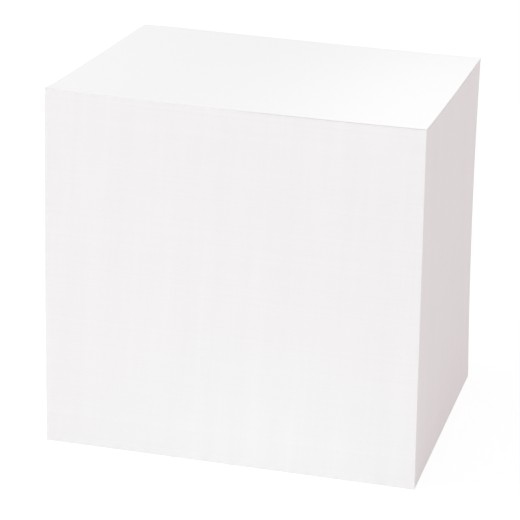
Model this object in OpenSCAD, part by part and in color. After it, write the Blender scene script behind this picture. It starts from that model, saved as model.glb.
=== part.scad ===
// A plain white memo block: a tall stack of loose, square note sheets with all four sides cut flush.
// The sheets lie flat, and the stack leans a little to the left. Millimetres, +Z up and -Y to the front.
// The origin lies on the base, under the middle of the stack's outline seen from above.

/* [Sheets] */
// Width of a sheet, left to right
sheet_w = 90; // [60:1:120]
// Depth of a sheet, front to back
sheet_d = 90; // [60:1:120]
// Thickness of one sheet
sheet_t = 0.1; // [0.08:0.005:0.15]
// Number of sheets in the stack
sheet_count = 860; // [300:10:1000]

/* [Lifts] */
// Sheets that were knocked flush together before they joined the stack
lift_sheets = 10; // [5:1:50]
// How far a lift lies out of line, at most
lift_jog = 0.03; // [0.01:0.01:0.2]
// Angle by which a lift is turned out of line, at most, in degrees
lift_turn = 0.02; // [0:0.01:0.1]

/* [Lie of the stack] */
// How far the top sheet lies to the left of the bottom one
lean = 4; // [0:0.1:8]
// How far the sheets at half height bulge out to the left of a straight lean
bow = 0.33; // [0:0.01:2]
// Angle by which the sheets at half height are turned against the top and the base, in degrees
twist = 0.35; // [0:0.05:2]

/* [Hidden] */

paper_white = [0.96, 0.95, 0.94];
jog_seed = 11;
stack_h = sheet_count * sheet_t;
lift_count = ceil(sheet_count / lift_sheets);
jog_x = rands(-lift_jog, lift_jog, lift_count, jog_seed);
jog_y = rands(-lift_jog, lift_jog, lift_count, jog_seed + 1);
turn = rands(-lift_turn, lift_turn, lift_count, jog_seed + 2);

// Height at which lift i starts, which is also where the one below it ends
function level(i) = min(i * lift_sheets, sheet_count) * sheet_t;

// How much of the bow and twist a height has: none at the base and top, all of it halfway up
function arch(z) = 4 * (z / stack_h) * (1 - z / stack_h);

// How far to the right of the origin the sheets at a height have their middle
function middle_x(z) = lean * (1 / 2 - z / stack_h) - bow * arch(z);

// The sheets of one lift, as a slab. It laps half a sheet into the one below, so the stack is one solid.
module lift(i) {
    thick = level(i + 1) - level(i);
    z = level(i) + thick / 2;
    lap = i == 0 ? 0 : sheet_t / 2;
    translate([middle_x(z) + jog_x[i], jog_y[i], level(i) - lap])
        rotate([0, 0, twist * arch(z) + turn[i]])
            translate([-sheet_w / 2, -sheet_d / 2, 0])
                cube([sheet_w, sheet_d, thick + lap]);
}

module paper_block() {
    color(paper_white)
        for (i = [0:lift_count - 1])
            lift(i);
}

paper_block();
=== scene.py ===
import math
import random

import bpy
import numpy as np
from mathutils import Matrix, Vector


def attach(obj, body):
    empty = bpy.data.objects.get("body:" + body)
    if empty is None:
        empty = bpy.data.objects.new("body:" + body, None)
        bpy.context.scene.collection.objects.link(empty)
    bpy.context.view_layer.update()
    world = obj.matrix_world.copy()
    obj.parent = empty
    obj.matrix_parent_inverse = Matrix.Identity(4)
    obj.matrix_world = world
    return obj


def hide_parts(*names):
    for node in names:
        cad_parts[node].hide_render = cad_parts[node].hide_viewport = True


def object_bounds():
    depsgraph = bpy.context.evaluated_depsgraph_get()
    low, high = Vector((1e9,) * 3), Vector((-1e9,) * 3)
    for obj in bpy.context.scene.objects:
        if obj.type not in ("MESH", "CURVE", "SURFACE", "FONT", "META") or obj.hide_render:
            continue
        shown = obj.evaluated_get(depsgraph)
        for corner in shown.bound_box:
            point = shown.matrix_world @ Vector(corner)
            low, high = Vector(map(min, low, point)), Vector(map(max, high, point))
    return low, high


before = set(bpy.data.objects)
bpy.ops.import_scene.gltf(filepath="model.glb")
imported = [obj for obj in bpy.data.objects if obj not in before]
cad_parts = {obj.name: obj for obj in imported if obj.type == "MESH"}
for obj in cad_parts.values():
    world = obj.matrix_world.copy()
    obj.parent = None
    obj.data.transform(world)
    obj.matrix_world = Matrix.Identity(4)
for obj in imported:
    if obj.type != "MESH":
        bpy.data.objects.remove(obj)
cad_low, cad_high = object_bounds()

# A plain white memo block: a tall stack of square note sheets, cut flush on all four sides.
# Metres, with the stack's base on the floor. +Z is up and -Y is the front.

MM = 0.001

# The sheets, as in the part
SHEET_SIZE = 90 * MM
SHEET_COUNT = 860
STACK_HEIGHT = cad_high.z - cad_low.z
SHEET_THICKNESS = STACK_HEIGHT / SHEET_COUNT
LIFT_SHEETS = 10

# The lie of the stack, as in the part: how far it leans to the left, and how far the sheets at half
# height bulge out to the left and are turned
LEAN = 4 * MM
BOW = 0.33 * MM
TWIST = math.radians(0.35)

# How far the cut sides are from perfectly flush, at most
LIFT_JOG = 0.004 * MM
SHEET_JOG = 0.004 * MM
SHEET_TURN = math.radians(0.004)
CUT_WAVE = 0.003 * MM

# The shadow line between two sheets on a cut side
GAP_HALF_WIDTH = 0.014 * MM
GAP_DEPTH = 0.018 * MM

# The sheets at the top that lie loose, lowest first: how far each lies out of line to the right
# and to the back
LOOSE_SHIFT = [(0.02 * MM, 0.005 * MM), (-0.03 * MM, -0.005 * MM), (0.03 * MM, 0.005 * MM),
               (-0.02 * MM, -0.01 * MM), (0.03 * MM, 0)]
LOOSE_GAP = 0.004 * MM
PRESSED_SHEETS = SHEET_COUNT - len(LOOSE_SHIFT)
PRESSED_HEIGHT = PRESSED_SHEETS * SHEET_THICKNESS

# How far the top sheet floats off its neighbour along the right half of its front edge, how far to
# the back that reaches, and where it starts and is whole: 0 is the edge's middle and 1 its right end
FRONT_GAP = 0.048 * MM
FRONT_REACH = 22 * MM
FRONT_START = -0.14
FRONT_FULL = 0.2

# How far each corner stands above the middle of the stack's top, and the depth in the stack at which
# only a small share of that is left. A corner is named by its side to the right and to the back, each
# 1 or -1.
CORNER_RISE = {(-1, -1): 0.25 * MM, (1, -1): 0.32 * MM, (1, 1): 0.3 * MM, (-1, 1): 0.2 * MM}
RISE_DEPTH = 30 * MM
RISE_LEFT_THERE = 0.05

# The topmost sheets curl up at the front left corner and are pressed down at the back left one, which
# is blunt: by how much, how far in from the corner that reaches, and how deep in the stack it dies out
CORNER_CURL = {(-1, -1): (0.25 * MM, 6 * MM, 2 * MM), (-1, 1): (-0.25 * MM, 8 * MM, 3 * MM)}
CURL_DEPTH = max(depth for amount, reach, depth in CORNER_CURL.values())

# Mesh steps along one side of a sheet, in the stack and where the sheets curl
SIDE_STEPS = 8
FINE_STEPS = 24
FINE_FROM = PRESSED_SHEETS - math.ceil(CURL_DEPTH / SHEET_THICKNESS)

# Edges that turn by more than this are drawn sharp
SHARP_ANGLE = math.radians(30)

# The two surfaces of the paper, as numbers of the mesh's material slots
FLAT, CUT = 0, 1
FLAT_COLOUR = (0.9, 0.9, 0.9)
CUT_COLOUR = (0.912, 0.89, 0.895)

SEED = 7


def arch(share):
    """How much of the bow and twist a share of the height has: none at the base and top, all halfway."""
    return 4 * share * (1 - share)


def side_run(steps):
    """Places along a side from -1 to 1, closer together near its ends, without the last one."""
    return np.sin(np.linspace(-math.pi / 2, math.pi / 2, steps, endpoint=False))


def square_outline(steps):
    """The outline of a sheet as a square from -1 to 1, walked anticlockwise from its front left corner."""
    run = side_run(steps)
    one = np.ones(steps)
    sides = [(run, -one), (one, run), (-run, one), (-one, -run)]
    return np.concatenate([np.stack(side, axis=1) for side in sides])


def square_grid(steps):
    """The points of a sheet's grid as a square from -1 to 1, row by row from the front left corner."""
    run = np.append(side_run(steps), 1.0)
    return np.array([(x, y) for y in run for x in run])


def raised(units, height):
    """How far points of a sheet at a height stand above that height, near the sheet's corners."""
    rise_left = RISE_LEFT_THERE ** ((STACK_HEIGHT - height) / RISE_DEPTH)
    total = np.zeros(len(units))
    for (to_right, to_back), amount in CORNER_RISE.items():
        along_x = np.clip(units[:, 0] * to_right, 0, None)
        along_y = np.clip(units[:, 1] * to_back, 0, None)
        total += amount * rise_left * (along_x * along_y) ** 2
    for (to_right, to_back), (amount, reach, depth) in CORNER_CURL.items():
        inwards = (2 - units[:, 0] * to_right - units[:, 1] * to_back) * SHEET_SIZE / 2 / math.sqrt(2)
        curl_left = np.clip(1 - (PRESSED_HEIGHT - height) / depth, 0, 1) ** 2
        total += amount * curl_left * np.clip(1 - inwards / reach, 0, 1) ** 2
    return total


def in_plan(units, height, turn=0.0, shift=(0.0, 0.0)):
    """Plan positions, in metres, of points of the square from -1 to 1 on a sheet at a height."""
    share = height / STACK_HEIGHT
    angle = TWIST * arch(share) + turn
    middle_x = LEAN * (0.5 - share) - BOW * arch(share)
    flat = units * SHEET_SIZE / 2
    x = flat[:, 0] * math.cos(angle) - flat[:, 1] * math.sin(angle)
    y = flat[:, 0] * math.sin(angle) + flat[:, 1] * math.cos(angle)
    return np.stack([x + middle_x + shift[0], y + shift[1]], axis=1)


class MeshParts:
    """Points and faces of several closed shells, gathered into one mesh with two materials."""

    def __init__(self):
        self.points = []
        self.faces = []
        self.kinds = []
        self.count = 0

    def add_points(self, plan, heights):
        """Adds points and returns their numbers."""
        numbers = list(range(self.count, self.count + len(plan)))
        self.points.append(np.column_stack([plan, heights]))
        self.count += len(plan)
        return numbers

    def add_face(self, face, kind):
        self.faces.append(tuple(face))
        self.kinds.append(kind)

    def add_wall(self, low_ring, high_ring):
        """Faces between two rings of point numbers, facing out. The high ring may be the finer one."""
        size = len(low_ring)
        ratio = len(high_ring) // size
        for i in range(size):
            above = [high_ring[(i * ratio + k) % len(high_ring)] for k in range(ratio, -1, -1)]
            self.add_face([low_ring[i], low_ring[(i + 1) % size]] + above, CUT)

    def add_grid(self, plan, heights, steps, facing_up):
        """Quads over a square grid of new points. Returns the point numbers round its rim."""
        numbers = self.add_points(plan, heights)
        rows = [numbers[row * (steps + 1):(row + 1) * (steps + 1)] for row in range(steps + 1)]
        for near, far in zip(rows, rows[1:]):
            for i in range(steps):
                quad = (near[i], near[i + 1], far[i + 1], far[i])
                self.add_face(quad if facing_up else quad[::-1], FLAT)
        right = [row[-1] for row in rows]
        left = [row[0] for row in rows]
        return rows[0][:-1] + right[:-1] + rows[-1][:0:-1] + left[:0:-1]


def cut_edges(dice):
    """The outline points of each pressed sheet on the square from -1 to 1, and their places in plan."""
    lift_count = math.ceil(PRESSED_SHEETS / LIFT_SHEETS)
    lifts = [[dice.uniform(-LIFT_JOG, LIFT_JOG) for _ in range(2)] for _ in range(lift_count)]
    coarse, fine = square_outline(SIDE_STEPS), square_outline(FINE_STEPS)
    edges = []
    for k in range(PRESSED_SHEETS):
        units = fine if k >= FINE_FROM else coarse
        shift = [jog + dice.uniform(-SHEET_JOG, SHEET_JOG) for jog in lifts[k // LIFT_SHEETS]]
        turn = dice.uniform(-SHEET_TURN, SHEET_TURN)
        plan = in_plan(units, (k + 0.5) * SHEET_THICKNESS, turn, shift)
        wave = 1 + np.array([dice.uniform(-CUT_WAVE, CUT_WAVE) for _ in units]) / (SHEET_SIZE / 2)
        edges.append((units, plan * wave[:, None]))
    return edges


def add_stack(parts, dice):
    """The pressed part of the stack, as one closed shell with every sheet's edge on its sides."""
    edges = cut_edges(dice)
    inset = 1 - GAP_DEPTH / (SHEET_SIZE / 2)

    def ring(units, plan, height):
        return parts.add_points(plan, height + raised(units, height))

    base = parts.add_points(edges[0][1] * inset, np.zeros(len(edges[0][0])))
    parts.add_face(reversed(base), FLAT)
    rings = [base]
    for k, (units, plan) in enumerate(edges):
        low = k * SHEET_THICKNESS
        high = low + SHEET_THICKNESS
        rings.append(ring(units, plan, low + GAP_HALF_WIDTH))
        rings.append(ring(units, plan, high - GAP_HALF_WIDTH))
        if k + 1 < PRESSED_SHEETS:
            above = edges[k + 1][1]
            ratio = len(above) // len(plan)
            rings.append(ring(units, (plan + above[::ratio]) / 2 * inset, high))

    units = square_grid(FINE_STEPS)
    top = PRESSED_HEIGHT + raised(units, PRESSED_HEIGHT)
    rings.append(parts.add_grid(in_plan(units, PRESSED_HEIGHT), top, FINE_STEPS, True))
    for low_ring, high_ring in zip(rings, rings[1:]):
        parts.add_wall(low_ring, high_ring)


def front_gap(units):
    """How far the top sheet floats off its neighbour along its front edge."""
    from_front = (units[:, 1] + 1) * SHEET_SIZE / 2
    to_right = np.clip((units[:, 0] - FRONT_START) / (FRONT_FULL - FRONT_START), 0, 1)
    return FRONT_GAP * to_right * np.clip(1 - from_front / FRONT_REACH, 0, 1) ** 2


def add_loose_sheets(parts):
    """The top sheets, each as a thin closed shell of its own that lies on the one below."""
    units = square_grid(FINE_STEPS)
    under = PRESSED_HEIGHT + raised(units, PRESSED_HEIGHT)
    for order, shift in enumerate(LOOSE_SHIFT):
        plan = in_plan(units, PRESSED_HEIGHT, 0.0, shift)
        is_top = order == len(LOOSE_SHIFT) - 1
        under = under + LOOSE_GAP + (front_gap(units) if is_top else 0)
        over = under + SHEET_THICKNESS
        low_rim = parts.add_grid(plan, under, FINE_STEPS, False)
        high_rim = parts.add_grid(plan, over, FINE_STEPS, True)
        parts.add_wall(low_rim, high_rim)
        under = over


def node_maker(tree):
    """A function that adds a node to a tree, with its inputs linked or set, and its settings."""

    def node(kind, inputs=None, **settings):
        made = tree.nodes.new(kind)
        for key, value in settings.items():
            setattr(made, key, value)
        for key, value in (inputs or {}).items():
            if isinstance(value, bpy.types.NodeSocket):
                tree.links.new(value, made.inputs[key])
            else:
                made.inputs[key].default_value = value
        return made

    return node


def new_material(name):
    """A new material, its node tree, its Principled shader and the function that adds nodes."""
    material = bpy.data.materials.new(name)
    material.use_nodes = True
    tree = material.node_tree
    return material, tree, tree.nodes["Principled BSDF"], node_maker(tree)


def math_node(node, operation, first, second=0.0):
    return node("ShaderNodeMath", {0: first, 1: second}, operation=operation).outputs[0]


def map_range(node, value, from_low, from_high, to_low, to_high):
    return node("ShaderNodeMapRange", {
        "Value": value, "From Min": from_low, "From Max": from_high,
        "To Min": to_low, "To Max": to_high}).outputs[0]


def stray(node, value, amount, middle=0.5, reach=0.25):
    """Maps a noise value to a factor that strays from 1 by up to the amount."""
    return map_range(node, value, middle - reach, middle + reach, 1 - amount, 1 + amount)


def tinted(node, colour, factors):
    """A colour multiplied by each of the factors, which lie close to 1."""
    total = factors[0]
    for factor in factors[1:]:
        total = math_node(node, "MULTIPLY", total, factor)
    return node("ShaderNodeVectorMath", {0: colour, "Scale": total}, operation="SCALE").outputs[0]


def stretched(node, place, scale):
    return node("ShaderNodeMapping", {"Vector": place, "Scale": scale}, vector_type="POINT").outputs[0]


def noise(node, place, size, detail=2.0, roughness=0.5):
    """Noise whose features are about the given size, in metres."""
    return node("ShaderNodeTexNoise", {
        "Vector": place, "Scale": 1 / size, "Detail": detail, "Roughness": roughness}).outputs["Fac"]


def paper_flat_material():
    """The flat side of a sheet: uncoated paper with a cloudy body and a fine felt of fibres."""
    material, tree, shader, node = new_material("paper_flat")
    place = node("ShaderNodeTexCoord").outputs["Object"]
    clouds = noise(node, place, size=2.2 * MM, detail=3)
    fibres = noise(node, place, size=0.28 * MM, detail=4, roughness=0.65)
    along_x = stretched(node, place, (1, 4, 1))
    strands = noise(node, along_x, size=0.5 * MM, detail=2, roughness=0.6)
    colour = tinted(node, FLAT_COLOUR, [
        stray(node, clouds, amount=0.004), stray(node, fibres, amount=0.006)])
    felt = math_node(node, "ADD", fibres, strands)
    bump = node("ShaderNodeBump", {"Height": felt, "Strength": 0.35, "Distance": 0.01 * MM}).outputs[0]
    tree.links.new(colour, shader.inputs["Base Color"])
    roughness = map_range(node, clouds, from_low=0.3, from_high=0.7, to_low=0.84, to_high=0.92)
    tree.links.new(roughness, shader.inputs["Roughness"])
    tree.links.new(bump, shader.inputs["Normal"])
    shader.inputs["Specular IOR Level"].default_value = 0.3
    return material


def paper_cut_material():
    """The cut sides: each sheet a hair lighter or darker, and faint upright marks left by the blade."""
    material, tree, shader, node = new_material("paper_cut")
    place = node("ShaderNodeTexCoord").outputs["Object"]
    height = node("ShaderNodeSeparateXYZ", {0: place}).outputs["Z"]
    sheet_number = math_node(node, "FLOOR", math_node(node, "MULTIPLY", height, 1 / SHEET_THICKNESS))
    per_sheet = node("ShaderNodeTexWhiteNoise", {"W": sheet_number}, noise_dimensions="1D").outputs["Value"]
    level = stretched(node, place, (0.02, 0.02, 1))
    per_lift = noise(node, level, size=1.6 * MM, detail=3, roughness=0.6)
    upright = stretched(node, place, (1, 1, 0.02))
    blade_fine = noise(node, upright, size=0.8 * MM, detail=3, roughness=0.6)
    less_upright = stretched(node, place, (1, 1, 0.06))
    blade_wide = noise(node, less_upright, size=5 * MM, detail=2)
    along_sheet = stretched(node, place, (1, 1, 2.5))
    fibres = noise(node, along_sheet, size=0.16 * MM, detail=3, roughness=0.6)
    colour = tinted(node, CUT_COLOUR, [
        stray(node, per_sheet, amount=0.008, reach=0.5), stray(node, per_lift, amount=0.002),
        stray(node, blade_fine, amount=0.006), stray(node, blade_wide, amount=0.009),
        stray(node, fibres, amount=0.01)])
    marks = math_node(node, "ADD", blade_fine, fibres)
    bump = node("ShaderNodeBump", {"Height": marks, "Strength": 0.4, "Distance": 0.008 * MM}).outputs[0]
    tree.links.new(colour, shader.inputs["Base Color"])
    tree.links.new(bump, shader.inputs["Normal"])
    shader.inputs["Roughness"].default_value = 0.93
    shader.inputs["Specular IOR Level"].default_value = 0.2
    return material


def make_paper_block():
    """The whole stack as one piece, which stands for the part's solid."""
    parts = MeshParts()
    add_stack(parts, random.Random(SEED))
    add_loose_sheets(parts)
    mesh = bpy.data.meshes.new("paper_sheets")
    mesh.from_pydata(np.concatenate(parts.points).tolist(), [], parts.faces)
    mesh.materials.append(paper_flat_material())
    mesh.materials.append(paper_cut_material())
    mesh.polygons.foreach_set("material_index", parts.kinds)
    mesh.polygons.foreach_set("use_smooth", [kind == FLAT for kind in parts.kinds])
    mesh.validate()
    mesh.set_sharp_from_angle(angle=SHARP_ANGLE)
    mesh.update()
    block = bpy.data.objects.new("paper_sheets", mesh)
    bpy.context.scene.collection.objects.link(block)
    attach(block, "root")
    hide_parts("paper_block")


def make_camera():
    """A long lens a little to the right of the front and above it, tipped a little as in the photograph."""
    azimuth = math.radians(11.56)
    pitch = math.radians(15.9)
    roll = math.radians(-3.66)
    distance = 0.6514
    aim = Vector((-4.5, 9.3, 35.45)) * MM
    level_right = Vector((math.cos(azimuth), math.sin(azimuth), 0))
    level_ahead = Vector((-math.sin(azimuth), math.cos(azimuth), 0))
    ahead = math.cos(pitch) * level_ahead - math.sin(pitch) * Vector((0, 0, 1))
    down = ahead.cross(level_right)
    right = math.cos(roll) * level_right + math.sin(roll) * down
    up = math.sin(roll) * level_right - math.cos(roll) * down
    data = bpy.data.cameras.new("camera")
    data.sensor_width = 36
    data.lens = 177
    data.clip_start = 0.05
    data.clip_end = 50
    camera = bpy.data.objects.new("camera", data)
    pose = Matrix((right, up, -ahead)).transposed().to_4x4()
    pose.translation = aim - ahead * distance
    camera.matrix_world = pose
    bpy.context.scene.collection.objects.link(camera)
    bpy.context.scene.camera = camera


def seen_directly(node):
    """1 for what the camera sees straight on, in a gloss or through glass, and 0 for the light itself."""
    path = node("ShaderNodeLightPath").outputs
    seen_or_glossed = math_node(node, "MAXIMUM", path["Is Camera Ray"], path["Is Glossy Ray"])
    return math_node(node, "MAXIMUM", seen_or_glossed, path["Is Transmission Ray"])


def make_world():
    """A faintly warm, even room light, which the camera sees as plain white."""
    world = bpy.data.worlds.new("studio")
    bpy.context.scene.world = world
    world.use_nodes = True
    world.node_tree.nodes.clear()
    node = node_maker(world.node_tree)
    room = node("ShaderNodeBackground", {"Color": (1, 0.938, 0.94, 1), "Strength": 0.781})
    white = node("ShaderNodeBackground", {"Color": (1, 1, 1, 1), "Strength": 1.0})
    mix = node("ShaderNodeMixShader", {0: seen_directly(node), 1: room.outputs[0], 2: white.outputs[0]})
    node("ShaderNodeOutputWorld", {"Surface": mix.outputs[0]})


def make_floor():
    """A wide white table. The camera sees most of it as plain white, with a faint shadow of the block."""
    half = 4.0
    below = 0.02 * MM
    white_share = 0.75
    corners = [(-half, -half, -below), (half, -half, -below), (half, half, -below), (-half, half, -below)]
    mesh = bpy.data.meshes.new("floor")
    mesh.from_pydata(corners, [], [(0, 1, 2, 3)])
    floor = bpy.data.objects.new("floor", mesh)
    bpy.context.scene.collection.objects.link(floor)
    material, tree, shader, node = new_material("floor")
    shader.inputs["Base Color"].default_value = (0.92, 0.92, 0.92, 1)
    shader.inputs["Roughness"].default_value = 1.0
    shader.inputs["Specular IOR Level"].default_value = 0.0
    white = node("ShaderNodeEmission", {"Color": (1, 1, 1, 1), "Strength": 1.1})
    share = math_node(node, "MULTIPLY", seen_directly(node), white_share)
    mix = node("ShaderNodeMixShader", {0: share, 1: shader.outputs[0], 2: white.outputs[0]})
    tree.links.new(mix.outputs[0], tree.nodes["Material Output"].inputs["Surface"])
    mesh.materials.append(material)


def softbox(name, size, place, aim, power, colour):
    """A flat lamp of a width and height in metres that faces a point."""
    data = bpy.data.lights.new(name, "AREA")
    data.shape = "RECTANGLE"
    data.size, data.size_y = size
    data.energy = power
    data.color = colour
    lamp = bpy.data.objects.new(name, data)
    lamp.location = place
    lamp.rotation_mode = "QUATERNION"
    lamp.rotation_quaternion = (Vector(aim) - Vector(place)).to_track_quat("-Z", "Y")
    lamp.visible_camera = False
    bpy.context.scene.collection.objects.link(lamp)


def make_lamps():
    """Two soft lamps on the left and in front, and two weak strips close to the block."""
    middle = (0, 0, STACK_HEIGHT / 2)
    softbox("left_high", size=(0.4, 0.4), place=(-0.6, -0.2, 0.7), aim=middle,
            power=2.89, colour=(0.838, 1.0, 0.995))
    softbox("front_low", size=(0.3, 0.3), place=(-0.1, -0.7, 0.16), aim=middle,
            power=0.515, colour=(0.842, 1.0, 0.99))
    over_right = (0.033, -0.02, STACK_HEIGHT + 0.05)
    top_right = (0.078, -0.02, STACK_HEIGHT)
    softbox("strip_top", size=(0.16, 0.02), place=over_right, aim=top_right,
            power=0.008, colour=(0.95, 0.96, 1.0))
    before_foot = (0.016, -0.082, 0.005)
    foot = (0.016, -0.045, 0.004)
    softbox("strip_low", size=(0.07, 0.014), place=before_foot, aim=foot,
            power=0.00108, colour=(0.64, 1.0, 0.93))


make_camera()
make_world()
make_floor()
make_lamps()
make_paper_block()
bpy.context.scene.view_settings.view_transform = "Standard"
